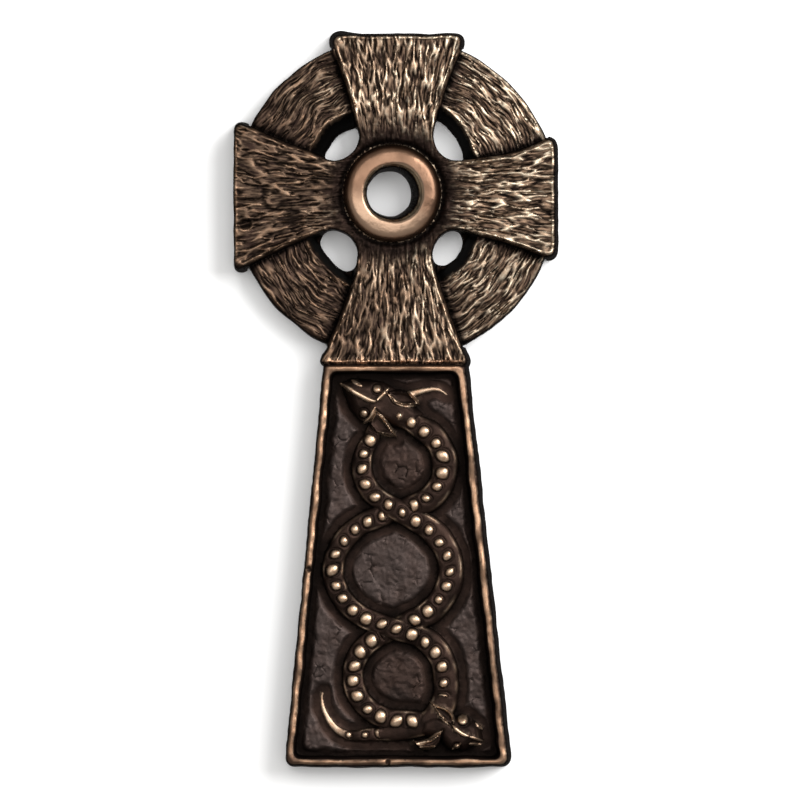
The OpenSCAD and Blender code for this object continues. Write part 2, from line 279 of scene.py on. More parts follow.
# The loops joined as a crossed belt joins its pulleys.
def beltPath(side, start, finish):
    upper, middle, lower = serpents["loops"]

    def leave(a, b, way):
        gap = math.hypot(b[0] - a[0], b[1] - a[1])
        heading = math.degrees(math.atan2(b[1] - a[1], b[0] - a[0]))
        return heading + way * math.degrees(math.acos((a[2] + b[2]) / gap))

    up, down = leave(upper, middle, side), leave(middle, lower, -side)
    path = np.concatenate([
        arcPoints(upper, start, up if side > 0 else up + 360),
        arcPoints(middle, up + 180, down + 360 if side > 0 else down),
        arcPoints(lower, down + 180, finish),
    ])
    for loop, wider in zip(serpents["loops"], serpents["wider"]):
        near = np.exp(-((path[:, 1] - loop[1]) / (0.8 * loop[2])) ** 2)
        path[:, 0] += wider * near * (path[:, 0] - loop[0])
    return path


# A rounded path through the points at even steps.
def evenly(points, step=0.25):
    points = np.asarray(points, float)
    for _ in range(3):
        cut = np.empty((len(points) * 2 - 2, 2))
        cut[0::2] = 0.75 * points[:-1] + 0.25 * points[1:]
        cut[1::2] = 0.25 * points[:-1] + 0.75 * points[1:]
        points = np.concatenate([points[:1], cut, points[-1:]])
    run = np.concatenate([[0], np.cumsum(np.hypot(*np.diff(points, axis=0).T))])
    s = np.arange(0, run[-1], step)
    return np.stack([np.interp(s, run, points[:, k]) for k in (0, 1)], 1), s, run[-1]


def shifted(points, mid):
    return np.asarray(points, float) + np.array(mid[:2])


upperLoop, middleLoop, lowerLoop = serpents["loops"]
firstPath = np.concatenate([
    shifted(serpents["firstNeck"], upperLoop),
    beltPath(1, 60, 0),
    shifted(serpents["firstTail"], lowerLoop),
])
secondPath = np.concatenate([
    shifted(serpents["secondNeck"], lowerLoop),
    beltPath(-1, 140, 262)[::-1],
    shifted(serpents["secondTail"], upperLoop),
])


# Distance to a path with its side as the sign, and the running length there.
def nearest(path, x, y):
    points, s, total = evenly(path)
    way = np.gradient(points, axis=0)
    way /= np.hypot(way[:, 0], way[:, 1])[:, None]
    far, at = np.empty(x.size), np.empty(x.size, int)
    for k in range(0, x.size, 20000):
        part = slice(k, k + 20000)
        square = (x[part, None] - points[None, :, 0]) ** 2 + (y[part, None] - points[None, :, 1]) ** 2
        at[part] = square.argmin(1)
        far[part] = np.sqrt(square.min(1))
    dx, dy = x - points[at, 0], y - points[at, 1]
    side = np.sign(way[at, 0] * dy - way[at, 1] * dx)
    along = s[at] + way[at, 0] * dx + way[at, 1] * dy
    return far * side, along, total, points[at]


def hump(place, mid):
    d = np.hypot(place[:, 0] - mid[0], place[:, 1] - mid[1]) / serpents["weaveReach"]
    return np.where(d < 1, 0.5 + 0.5 * np.cos(math.pi * np.clip(d, 0, 1)), 0)


def crossingOf(a, b):
    t = a[2] / (a[2] + b[2])
    return a[0] + (b[0] - a[0]) * t, a[1] + (b[1] - a[1]) * t


# Height above the ground, rubbed share, and distance outside the body.
def serpentRelief(path, order, seed, phase, x, y):
    across, along, total, place = nearest(path, x, y)
    thin = np.clip((total - along + 1) / serpents["tail"], 0, 1) ** 0.95
    wander = 1 + 0.06 * noise(along / 5, across / 40, seed)
    flank = ease(4, 12, place[:, 0]) * ease(-0.5, 1.5, x - place[:, 0])  # broad dark flanks on the right
    half = serpents["half"] * thin * wander * (1 + 0.38 * flank)
    lift = serpents["weave"] * order * (hump(place, crossingOf(middleLoop, lowerLoop))
                                        - hump(place, crossingOf(upperLoop, middleLoop)))
    half = np.maximum(half, 1e-3)
    c = np.abs(across) / half
    body = np.sqrt(np.clip(1 - c ** 2.6, 0, 1))
    height = serpents["height"] * thin * body + lift * ease(0, 0.3, body)
    rimmed = np.exp(-((c - 0.84) / 0.07) ** 2) * ease(-0.2, 0.7, noise(along / 5, np.sign(across), seed + 1))
    height += 0.22 * rimmed * thin
    # The studs sit in small hollows and differ in size, lean and place.
    count = np.round((along - phase) / serpents["studStep"]).astype(np.int64)
    size, shift, lean = (hashed(count, count * 0 + k, seed + 5) - 0.5 for k in (1, 2, 3))
    a = along - phase - count * serpents["studStep"] - 0.5 * shift
    b = across + 0.5 * lean
    turned = a + 0.5 * lean * b
    wide = np.maximum(1.58 * (1 + 0.45 * size) * np.clip(thin * 1.3, 0, 1), 1e-3)
    out = (np.abs(turned / wide) ** 2.4 + np.abs(b / (wide * 1.08)) ** 2.4) ** (1 / 2.4)
    bare = (lift < -serpents["weave"] / 3) | (thin < 0.4) | (along < 3)
    if order > 0:  # the second serpent's neck lies over the first one's body
        bare |= (place[:, 1] < -150.5) & (place[:, 0] > -4.5)
    stud = np.where(bare, 0, np.sqrt(np.clip(1 - out ** 2, 0, 1)))
    pit = np.where(bare, 0, np.exp(-((out - 1.22) / 0.22) ** 2)) * ease(0.2, 0.5, body)
    height += stud * serpents["studHeight"] * np.clip(thin * 1.1, 0, 1) - 0.35 * pit
    height = np.where(c < 1, height, 0)
    live = (c < 1) & (along > -1) & (along < total + 0.5)
    rub = np.where(live, np.clip(ease(0.3, 0.85, stud) + 0.55 * rimmed, 0, 1), 0)
    tip = ease(0.46, 0.3, thin) * ease(0.35, 0.8, body)
    rub = np.maximum(rub, np.where(live, tip, 0))
    return np.where(live, height, 0), rub, np.abs(across) - half, live


# Depth inside a closed outline, negative outside it.
def insideDepth(points, x, y):
    points = np.asarray(points, float)
    far, hit = np.full(x.shape, 1e9), np.zeros(x.shape, bool)
    for (ax, ay), (bx, by) in zip(points, np.roll(points, -1, 0)):
        t = np.clip(((x - ax) * (bx - ax) + (y - ay) * (by - ay)) / ((bx - ax) ** 2 + (by - ay) ** 2), 0, 1)
        far = np.minimum(far, np.hypot(x - ax - t * (bx - ax), y - ay - t * (by - ay)))
        if by != ay:
            hit ^= ((ay > y) != (by > y)) & (x < (bx - ax) * (y - ay) / (by - ay) + ax)
    return np.where(hit, far, -far)


# 1 along a line, fading to 0 at its width, thinner at its ends.
def stroke(points, wide, x, y):
    points, s, total = evenly(points)
    out = np.zeros(x.shape)
    near = insideBox(points, wide + 0.5, x, y)
    px, py = x[near], y[near]
    square = (px[:, None] - points[None, :, 0]) ** 2 + (py[:, None] - points[None, :, 1]) ** 2
    at = square.argmin(1)
    ends = np.clip(np.minimum(s[at], total - s[at]) / (0.35 * total) + 0.35, 0, 1)
    out[near] = np.sqrt(np.clip(1 - square.min(1) / (wide * ends) ** 2, 0, 1))
    return out


def insideBox(points, room, x, y):
    low, high = points.min(0) - room, points.max(0) + room
    return (x > low[0]) & (x < high[0]) & (y > low[1]) & (y < high[1])


# Heads, from the middle of the loop beside them: outline of the skull, ears, eyes and the
# raised lines on them, each line with its half width and height.
heads = {
    "upper": {
        "skull": ((-18.6, 24.8), (-15.2, 26.3), (-10, 26), (-5.5, 25.2), (-0.5, 22.6), (3.5, 18.6),
                  (6.6, 15.6), (4.2, 11.6), (-2, 11.4), (-6.4, 12.6), (-12.4, 13), (-15.8, 16.8)),
        "ears": (((-4.8, 22.6), (-0.6, 22.8), (2.2, 22.2), (5.2, 18.5), (0.4, 17.9), (-2.6, 19)),
                 ((-8, 16.6), (-4.6, 13.4), (-1.6, 8.7), (-8, 10), (-10, 12.6))),
        "eyes": ((-7.6, 23.1, 1.3), (-11.6, 15.7, 1.25)),
        "studs": ((-0.9, 15.1, 0.9),),
        "lines": (
            (((-18.6, 24.7), (-14.4, 22.1), (-9.2, 19.4), (-7.5, 19.6)), 0.75, 0.9),
            (((-7.7, 19.6), (-5.7, 21.6), (-4.1, 23.3)), 0.6, 0.8),
            (((-4.6, 22), (-2.2, 19.3), (0.3, 18.1), (3, 18.2), (5, 18.6)), 0.6, 0.9),
            (((1.6, 22.2), (3.6, 20.5), (5, 18.7)), 0.5, 0.7),
            (((-8.2, 17.6), (-9, 14.6), (-11.4, 13)), 0.85, 0.9),
            (((-7.7, 16.3), (-4.9, 13.2), (-1.9, 8.9)), 0.55, 0.8),
            (((-1.9, 8.9), (-4.6, 9.2), (-7.7, 10.2)), 0.45, 0.6),
            (((-15.2, 25.7), (-12.3, 24.1)), 0.5, 0.4),
        ),
    },
    "lower": {
        "skull": ((25.8, -19.4), (24.6, -14.6), (20.6, -11.4), (15.6, -11.6), (10.5, -10.5), (6, -12.6),
                  (5.6, -18), (12, -19.4), (15.2, -22.2), (20, -22.6)),
        "ears": (((9.4, -7.4), (14.4, -9.2), (17, -11.6), (16.2, -15), (12.4, -12.2)),
                 ((4.2, -19.2), (9.6, -18.8), (13.6, -16.2), (12.6, -20), (11, -21.6), (6, -21.6))),
        "eyes": ((19.5, -13, 1.65), (17.6, -21, 0.9)),
        "studs": (),
        "lines": (
            (((9.5, -7.6), (11.7, -9), (14.4, -9.6), (16.4, -11.6), (16.6, -14.2)), 0.5, 0.8),
            (((9.8, -7.9), (10.7, -9.4), (13.4, -12.6), (15.5, -14.6)), 0.5, 0.8),
            (((16.4, -14.8), (18.7, -17), (21.4, -18)), 0.65, 0.9),
            (((21.4, -18), (25.4, -19.5)), 0.35, 0.4),
            (((23.4, -14), (25.3, -16)), 0.45, 0.5),
            (((4.5, -19.6), (6.3, -20.5), (9.6, -19.2), (13.3, -16.3)), 0.65, 0.9),
            (((6.4, -21.4), (8.6, -21.6), (11.2, -21)), 0.55, 0.6),
            (((16.4, -22), (18.8, -20.2)), 0.5, 0.7),
            (((21.4, -20.3), (24.9, -20.5)), 0.45, 0.4),
        ),
    },
}


def headRelief(head, mid, x, y):
    x, y = x - mid[0], y - mid[1]
    height, rub = np.zeros(x.shape), np.zeros(x.shape)
    near = insideBox(np.array(head["skull"]), 6, x, y)
    px, py = x[near], y[near]
    skull = insideDepth(head["skull"], px, py)
    up = 3.0 * np.sqrt(ease(0, 3.2, skull)) * (skull > 0)
    shine = np.zeros(px.shape)
    edge = skull
    for ear in head["ears"]:
        depth = insideDepth(ear, px, py)
        leaf = 3.1 * ease(-0.1, 0.5, depth) - 0.7 * ease(0.4, 1.6, depth)
        up = np.where(depth > 0, np.maximum(leaf, 0.75 * up), up)
        up -= 0.5 * np.exp(-(np.minimum(depth, 0) / 0.5) ** 2) * (depth < 0) * (skull > 0)
        edge = np.maximum(edge, depth)
    for ex, ey, r in head["eyes"]:
        d = np.hypot(px - ex, py - ey) / r
        up += 1.0 * np.sqrt(np.clip(1 - d * d, 0, 1)) - 0.5 * np.exp(-((d - 1.25) / 0.25) ** 2)
        shine = np.maximum(shine, 0.8 * ease(1, 0.6, d))
    for ex, ey, r in head["studs"]:
        d = np.hypot(px - ex, py - ey) / r
        up += 0.8 * np.sqrt(np.clip(1 - d * d, 0, 1))
        shine = np.maximum(shine, 0.9 * ease(1, 0.6, d))
    for points, wide, tall in head["lines"]:
        line = stroke(points, wide, px, py)
        up += tall * line
        shine = np.maximum(shine, ease(0.15, 0.7, line) * (0.45 + 0.55 * tall))
    height[near] = np.maximum(up, 0) * (edge > -0.8)
    rub[near] = shine
    away = np.full(x.shape, 9.0)
    away[near] = -edge
    return height, rub, away


# The relief is sampled on one grid.
grid = cross["grid"]
xs = np.arange(-50, 50 + grid, grid)
ys = np.arange(-173, 50.5, grid)
X, Y = np.meshgrid(xs, ys)
depth = frontDepth(X, Y)
print("outline worked out", X.shape)


# Long wandering ridges that fork and join, and narrow clefts between them.
def barkRelief(along, across, seed, coarse=1.0):
    along = along + 1.5 * noise(along / 7, across / 2.4, seed)
    bend = 0.45 * noise(along / 6, across / 3, seed + 1)
    across = across + bend + 0.14 * noise(along / 1.8, across / 1.5, seed + 2)
    main = cells(across / (1.45 * coarse), along / 12, seed + 3)
    fine = cells(across / (0.95 * coarse) + 40, along / 7.5, seed + 4)
    strength = ease(-0.5, 0.35, noise(along / 7, across / 1.7, seed + 5))
    ridge = np.exp(-(main / 0.3) ** 2) * (0.2 + 0.8 * strength)
    second = np.exp(-(fine / 0.3) ** 2) * ease(-0.15, 0.5, noise(along / 5, across / 2.1, seed + 6))
    ridge = np.maximum(ridge, 0.8 * second)
    folds = noise(along / 8, across / 1.25, seed + 11) + 0.3 * noise(along / 3, across / 0.7, seed + 12)
    cleft = np.exp(-(folds / 0.17) ** 2) * ease(0.75, 0.35, ridge)
    grain = 0.3 * noise(along / 3.5, across / 0.8, seed + 8)
    grain = grain + 0.2 * noise(along / 1.2, across / 0.6, seed + 9)
    return ridge, cleft, grain + 0.5 * np.abs(folds)


# Length along the arm, place across it straightened for its flare, and the arm's number.
def armFan(x, y):
    along, across, number = np.zeros(x.shape), np.zeros(x.shape), np.zeros(x.shape, int)
    flat = np.abs(x) > np.abs(y)
    for (sx, sy), (side, upright) in quarters.items():
        here = (x * sx >= 0) & (y * sy >= 0)
        for flatArm, shape in ((True, side), (False, upright)):
            m = here & (flat == flatArm)
            a = (x[m] * sx) if flatArm else (y[m] * sy)
            c = y[m] if flatArm else x[m]
            start = cross["pitRadius"] + shape[0]
            t = np.clip((a - start) / (46.7 - start), 0, 1.1)
            half = shape[0] + (shape[1] - shape[0]) * t ** shape[2]
            along[m] = a
            across[m] = c / (half / shape[0]) ** 0.62
            number[m] = (1 if sx > 0 else 3) if flatArm else (2 if sy > 0 else 4)
    return along, across, number


inArms = armDepth(X, Y)
radius, turn = ringPlace(X, Y)
hub = np.hypot(X - cross["bossMiddle"][0], Y - cross["bossMiddle"][1])

along, across, number = armFan(X, Y)
ridge, cleft, grain = barkRelief(along + number * 61.7, across + number * 23.3, 100)
fade = ease(16.5, 26, hub + 1.5 * noise(X / 3, Y / 3, 46))
lip = np.exp(-((inArms - 0.45) / 0.32) ** 2) * ease(19, 25, hub)
lip *= 0.35 + 0.65 * ease(-0.5, 0.35, noise(X / 5, Y / 5, 41))
pitted = 0.22 * noise(X / 0.9, Y / 0.9, 42) + 0.25 * noise(X / 2.1, Y / 2.1, 43)
armTop = cross["armHeight"] - 0.6 + (0.5 * ridge - 0.45 * cleft) * (0.3 + 0.7 * fade) + 0.3 * grain \
    + pitted * (1 - fade) * ease(14, 17, hub) + 0.5 * lip + 0.25 * noise(X / 11, Y / 11, 44)
armTop -= 0.9 * np.exp(-((hub - cross["bossOuter"] - 0.5) / 1.1) ** 2)
barkRub = ease(0.35, 0.8, ridge) * fade * (0.45 + 0.55 * ease(-0.5, 0.4, noise(X / 6, Y / 6, 45)))
barkRub = np.maximum(barkRub, 0.95 * ease(0.25, 0.7, lip))

ringAlong, ringAcross = turn * 38, radius + 1.1 * noise(turn * 5, radius / 9, 51)
ringRidge, ringCleft, ringGrain = barkRelief(ringAlong, ringAcross + 7 * np.sign(X), 200, 0.85)
inner = ringInner(turn)
rimAt = inner + ringInner(turn, ringSlope)
rim = np.exp(-((radius - rimAt - 0.35) / 0.45) ** 2)
ringTop = cross["ringHeight"] - 0.3 - 0.5 * (radius - rimAt) / 17 + 0.38 * ringRidge - 0.35 * ringCleft \
    + 0.22 * ringGrain + 0.25 * rim - 0.5 * ease(2.4, 0.3, -inArms)
ringTop -= 0.8 * ease(cross["ringOuter"] - 1.0, cross["ringOuter"] + 0.2, radius) ** 2
besideArms = ease(0.8, 5.5, -inArms)
ringRub = ease(0.4, 0.85, ringRidge) * besideArms * (0.3 + 0.7 * ease(-0.4, 0.4, noise(X / 6, Y / 6, 52)))
rimRub = rim * ease(0.8, 2.4, -inArms) * ease(-0.5, 0.3, noise(X / 4, Y / 4, 53) + 0.35 * np.sign(Y))
# A painted highlight along the ring's outer edge, growing towards the upper right where the key light falls.
outerRimHighlight = np.exp(-((cross["ringOuter"] - radius - 0.35) / 0.3) ** 2) * ease(-0.4, 0.6, (X + Y) / 60)
rimRubAndHighlight = np.maximum(0.9 * rimRub, 0.7 * outerRimHighlight)
ringRub = np.maximum(ringRub * ease(rimAt - 0.4, rimAt + 1.4, radius), rimRubAndHighlight)
fall = np.clip((radius - inner) / (rimAt - inner), 0, 1)
windowWall = 0.9 + (cross["ringHeight"] - 0.9) * fall ** 0.85
ringTop = np.where(radius < rimAt, np.minimum(ringTop, windowWall), ringTop)

# The shaft: border, panel, serpents.
inPanel = panelDepth(X, Y)
inShaft = shaftDepth(X, Y)
shaftTop = np.full(X.shape, cross["armHeight"]) + 0.25 * noise(X / 9, Y / 9, 61)
shaftTop += 0.18 * noise(X / 2.2, Y / 2.2, 62) - 0.35 * ease(0.9, 0, inShaft) - 0.25 * ease(-0.9, 0, inPanel)
belowLedge = ease(cross["shaftTop"] + 0.2, cross["shaftTop"] - 0.6, Y)
groove = np.exp(-((Y + 50.95 + 0.12 * noise(X / 6, Y / 40, 63)) / 0.42) ** 2)
borderRub = ease(-0.45, 0.05, -np.abs(inPanel + 0.85 + 0.25 * noise(X / 6, Y / 6, 65)) + 0.5) * belowLedge
borderRub *= (0.3 + 0.7 * ease(-0.5, 0.4, noise(X / 7, Y / 7, 64))) * (1 - 0.45 * ease(-167.5, -169.5, Y))
for nickX, nickY in cross["nicks"]:
    nick = ease(1.0, 0.3, np.hypot(X - nickX, (Y - nickY) * 0.8))
    shaftTop -= 0.9 * nick
    borderRub *= 1 - nick

near = inPanel > -0.5
px, py = X[near], Y[near]
groundTop = cross["armHeight"] - cross["panelSink"]
firstUp, firstRub, firstAway, firstLive = serpentRelief(firstPath, 1, 301, 2.4, px, py)
secondUp, secondRub, secondAway, secondLive = serpentRelief(secondPath, -1, 401, 1.2, px, py)
upperHead = headRelief(heads["upper"], upperLoop, px, py)
lowerHead = headRelief(heads["lower"], lowerLoop, px, py)
away = np.minimum(np.minimum(firstAway, secondAway), np.minimum(upperHead[2], lowerHead[2]))
away = np.minimum(away, 0.8 * inPanel[near] + 0.4)
plateau = ease(2.0, 3.5, away + 0.35 * noise(px / 3, py / 3, 75))
hammered = 0.22 * noise(px / 2.6, py / 2.6, 71) + 0.2 * noise(px / 1.1, py / 1.1, 72)
hammered = hammered + 0.25 * noise(px / 7, py / 7, 73)
crackle = np.exp(-(cells(px / 3.4, py / 3.4, 76) / 0.07) ** 2)
hammered -= 0.3 * crackle * ease(0, 0.5, noise(px / 5, py / 5, 77))
ground = groundTop - 0.6 + plateau * (0.7 + hammered) + 0.06 * noise(px / 2, py / 2, 74)
carved = np.zeros(px.shape)
carvedRub = np.zeros(px.shape)
for up, rub in ((firstUp, firstRub), (secondUp, secondRub), upperHead[:2], lowerHead[:2]):
    over = up > carved
    carvedRub = np.where(over, rub, carvedRub)
    carved = np.maximum(carved, up)
panelTop = ground + carved
wall = ease(0, 0.9, inPanel[near])
shaftTop[near] = shaftTop[near] * (1 - wall) + panelTop * wall
carvedField = np.zeros(X.shape)
carvedField[near] = carvedRub * wall
plateauField = np.zeros(X.shape)
plateauField[near] = plateau * wall

# Ring and shaft make the ground that the arms stand on.
lowPart = ease(-0.4, 0.4, inShaft - (cross["ringOuter"] - radius))
height = ringTop * (1 - lowPart) + shaftTop * lowPart
rub = ringRub * (1 - lowPart) + np.maximum(borderRub, carvedField) * lowPart
# The top arm's wall is broader at its two corners.
wallWidth = 1.15 + 1.3 * np.exp(-((X + 18) ** 2 + (Y - 46) ** 2) / 30) \
    + 0.7 * np.exp(-((X - 19) ** 2 + (Y - 46) ** 2) / 25)
slopeDown = np.clip(-inArms / wallWidth, 0, 1)
onArm = 1 - slopeDown * slopeDown * (3 - 2 * slopeDown)
onArm = np.where(Y < cross["shaftTop"] - 1, 0, onArm)
height = height * (1 - onArm) + (armTop - 0.35 * ease(0.45, 0, inArms)) * onArm
rub = rub * (1 - ease(0, 0.7, onArm)) + barkRub * ease(0.7, 1, onArm)
height -= 1.0 * groove * ease(-0.5, 0.5, inShaft + 0.6)
rub *= 1 - groove

# The boss.
bx, by = cross["bossMiddle"]
bossHalf = (cross["bossOuter"] - cross["bossHole"]) / 2
bossMid = (cross["bossOuter"] + cross["bossHole"]) / 2
# It is nearly flat on top, and highest near the hole.
side = (hub - bossMid) / bossHalf
swell = np.clip(1 - np.where(side > 0, side ** 3, np.abs(side) ** 7), 0, 1) ** np.where(side > 0, 0.8, 0.5)
toRight = (X - bx) / np.maximum(hub, 1)
chamfer = ease(1.9, 0, hub - cross["bossHole"]) * ease(-0.2, 0.8, toRight)
bossTop = cross["armHeight"] - 1.4 + (cross["bossHeight"] + 1.0 - 0.45 * side) * swell - 1.1 * chamfer \
    + 0.16 * noise(X / 4.5, Y / 4.5, 81) * swell + 0.05 * noise(X / 1.7, Y / 1.7, 82) * swell
# On the boss: its lower left is drawn paler, a painted highlight, and it is darker towards its right, at its
# outer edge and at random.
bossLitLowerLeft = ease(0.0, 0.85, (-0.3 * (X - bx) - (Y - by)) / np.maximum(hub, 1))
bossDarkening = 0.55 + 0.3 * ease(0, 0.9, toRight) + 0.3 * ease(0.35, 1.0, side) + 0.35 * noise(X / 4, Y / 4, 83)
bossDarkening = np.clip(bossDarkening - 0.75 * bossLitLowerLeft, 0, 1)
onBoss = (hub < cross["bossOuter"]) & (bossTop > height)
bossTop = np.maximum(bossTop, cross["armHeight"] - 1.0)
height = np.where(hub < bossMid, bossTop, np.maximum(height, np.where(hub < cross["bossOuter"], bossTop, 0)))
polish = np.where((hub < bossMid) | onBoss, 1.0, 0.0)
# Painted highlights on the boss: a crescent on the chamfer inside the hole's right rim, a line on the hole's
# left rim, and a faint sheen on its lower left.
bossRimHighlight = 0.75 * ease(0.9, 0.3, hub - cross["bossHole"]) * ease(0.3, -0.5, toRight)
bossPaintedHighlight = 0.13 * bossLitLowerLeft * ease(-1, -0.6, side) * ease(1.0, 0.3, side)
rub = np.where(polish > 0, np.maximum(np.maximum(0.9 * chamfer, bossRimHighlight), bossPaintedHighlight), rub)

pitX, pitY = cross["pit"]
pit = np.hypot(X - pitX, Y - pitY)
height -= 0.7 * ease(2.0, 1.2, pit) - 0.3 * np.exp(-((pit - 2.1) / 0.35) ** 2)
# A painted highlight on the pit's lower rim, the side that faces up towards the light.
pitRimHighlight = 0.9 * np.exp(-((pit - 2.0) / 0.4) ** 2) * ease(0.2, -0.8, (Y - pitY) / 2)
rub = np.where(pit < 1.6, 0, np.maximum(rub, pitRimHighlight))

inside = depth > 0
broad = blurred(height, inside, 2.4)
local = blurred(height, inside, 0.7)
hollow = ease(0.1, 1.3, broad - height)
crest = ease(0.0, 0.35, height - local)
rub = np.where(polish > 0, rub, np.clip(rub * (0.55 + 0.6 * crest), 0, 1))
print("relief worked out")


# The relief's samples become the front of the mesh, and its open edges get walls and a back.
cellIn = inside[:-1, :-1] & inside[1:, :-1] & inside[:-1, 1:] & inside[1:, 1:]
# Cells joined only at a corner are dropped.
for _ in range(3):
    count = sum(np.roll(np.roll(cellIn, a, 0), b, 1) for a, b in ((1, 0), (-1, 0), (0, 1), (0, -1)))
    cellIn &= count >= 2
used = np.zeros(X.shape, bool)
for a in (0, 1):
    for b in (0, 1):
        used[a:a + cellIn.shape[0], b:b + cellIn.shape[1]] |= cellIn
index = np.full(X.shape, -1)
index[used] = np.arange(used.sum())
ci, cj = np.nonzero(cellIn)
quads = np.stack([index[ci, cj], index[ci, cj + 1], index[ci + 1, cj + 1], index[ci + 1, cj]], 1)
frontX, frontY, frontH = X[used].copy(), Y[used].copy(), height[used].copy()

# Loops of open edges, with the cast on their left.
edges = np.concatenate([np.stack([quads[:, k], quads[:, (k + 1) % 4]], 1) for k in range(4)])
key = edges[:, 0].astype(np.int64) * len(frontX) + edges[:, 1]
back = edges[:, 1].astype(np.int64) * len(frontX) + edges[:, 0]
openEdges = edges[~np.isin(key, back)]
nextOf = {}
for a, b in openEdges:
    nextOf.setdefault(int(a), []).append(int(b))
pinched = sum(len(v) > 1 for v in nextOf.values())
loops = []
while nextOf:
    start = next(iter(nextOf))
    loop, here = [], start
    while here in nextOf:
        loop.append(here)
        options = nextOf[here]
        there = options.pop()
        if not options:
            del nextOf[here]
        here = there
    loops.append(np.array(loop))
print("open loops", [len(l) for l in loops], "pinched", pinched)

for loop in loops:  # the open edges are drawn out to the true outline
    for _ in range(3):
        gx, gy, size = slopeOf(frontDepth, frontX[loop], frontY[loop])
        move = frontDepth(frontX[loop], frontY[loop]) / size
        frontX[loop] -= gx * move
        frontY[loop] -= gy * move


def sampled(field, x, y):
    fx, fy = np.clip((x - xs[0]) / grid, 0, len(xs) - 1.001), np.clip((y - ys[0]) / grid, 0, len(ys) - 1.001)
    i, j = fx.astype(int), fy.astype(int)
    u, v = fx - i, fy - j
    return (field[j, i] * (1 - u) * (1 - v) + field[j, i + 1] * u * (1 - v)
            + field[j + 1, i] * (1 - u) * v + field[j + 1, i + 1] * u * v)


# How far the wall runs out from the front to the back.
def lean(x, y, nx, ny):
    out = 1.0 + 0.5 * nx + 0.35 * np.abs(ny)
    out = out + 1.2 * np.exp(-((x + 18) ** 2 + (y - 47) ** 2) / 20)
    inHole = np.hypot(x - bx, y - by) < 10
    inWindow = ~inHole & (np.hypot(x, y) < 30)
    onRing = ~inHole & ~inWindow & (armDepth(x, y) < -0.6) & (y > cross["shaftTop"] + 2)
    out = np.where(inWindow, 0.35, np.where(onRing, 0.5, out))
    return np.where(inHole, 1.3 + 1.0 * -nx, out)


points = [np.stack([frontX, frontY, frontH], 1)]
faces4 = [quads]
total = len(frontX)
baseLoops = []
for loop in loops:
    x, y = frontX[loop], frontY[loop]
    gx, gy, _ = slopeOf(frontDepth, x, y)
    for _ in range(6):  # even out the directions where two walls meet
        gx = (gx + 0.5 * (np.roll(gx, 1) + np.roll(gx, -1))) / 2
        gy = (gy + 0.5 * (np.roll(gy, 1) + np.roll(gy, -1))) / 2
    size = np.hypot(gx, gy)
    nx, ny = -gx / size, -gy / size
    reach = lean(x, y, nx, ny)
    for _ in range(12):
        reach = (reach + 0.5 * (np.roll(reach, 1) + np.roll(reach, -1))) / 2
    top = frontH[loop]
    rows = [loop]
    steps = ((0.22, 0.06), (0.42, 0.22), (0.55, 0.5))
    for out, down in steps:
        swing = out * np.minimum(reach, 1) * 0.6
        points.append(np.stack([x + nx * swing, y + ny * swing, top - down * np.minimum(1, top)], 1))
        rows.append(np.arange(total, total + len(loop)))
        total += len(loop)
    for t in (0.25, 0.5, 0.75, 0.95, 1.0):
        startOut = 0.33 * np.minimum(reach, 1)
        out = startOut + (reach - startOut) * min(t / 0.95, 1) - (0.12 if t == 1 else 0)
        z = (top - 0.5 * np.minimum(1, top)) * (1 - t)
        rough = 0.1 * noise(x / 3 + y / 3, z / 3 + x / 7, 91) if t < 1 else 0
        points.append(np.stack([x + nx * (out + rough), y + ny * (out + rough), z * np.ones(len(x))], 1))
        rows.append(np.arange(total, total + len(loop)))
        total += len(loop)
    for a, b in zip(rows, rows[1:]):
        faces4.append(np.stack([np.roll(a, -1), a, b, np.roll(b, -1)], 1))
    baseLoops.append(rows[-1])

# The mouth, wall and floor of the hanging hole.
hangY = cross["hangUp"]
turns = np.linspace(0, 2 * math.pi, 64, endpoint=False)
ringRows = []
for r, z in ((cross["hangRadius"], 0), (cross["hangRadius"], cross["hangDepth"])):
    points.append(np.stack([r * np.cos(turns), hangY + r * np.sin(turns), np.full(64, z)], 1))
    ringRows.append(np.arange(total, total + 64))
    total += 64
faces4.append(np.stack([ringRows[0], np.roll(ringRows[0], -1), np.roll(ringRows[1], -1), ringRows[1]], 1))
points.append(np.array([[0, hangY, cross["hangDepth"]]]))
hubPoint = total
total += 1
faces3 = [np.stack([ringRows[1], np.roll(ringRows[1], -1), np.full(64, hubPoint)], 1)]
baseLoops.append(ringRows[0])

allPoints = np.concatenate(points)


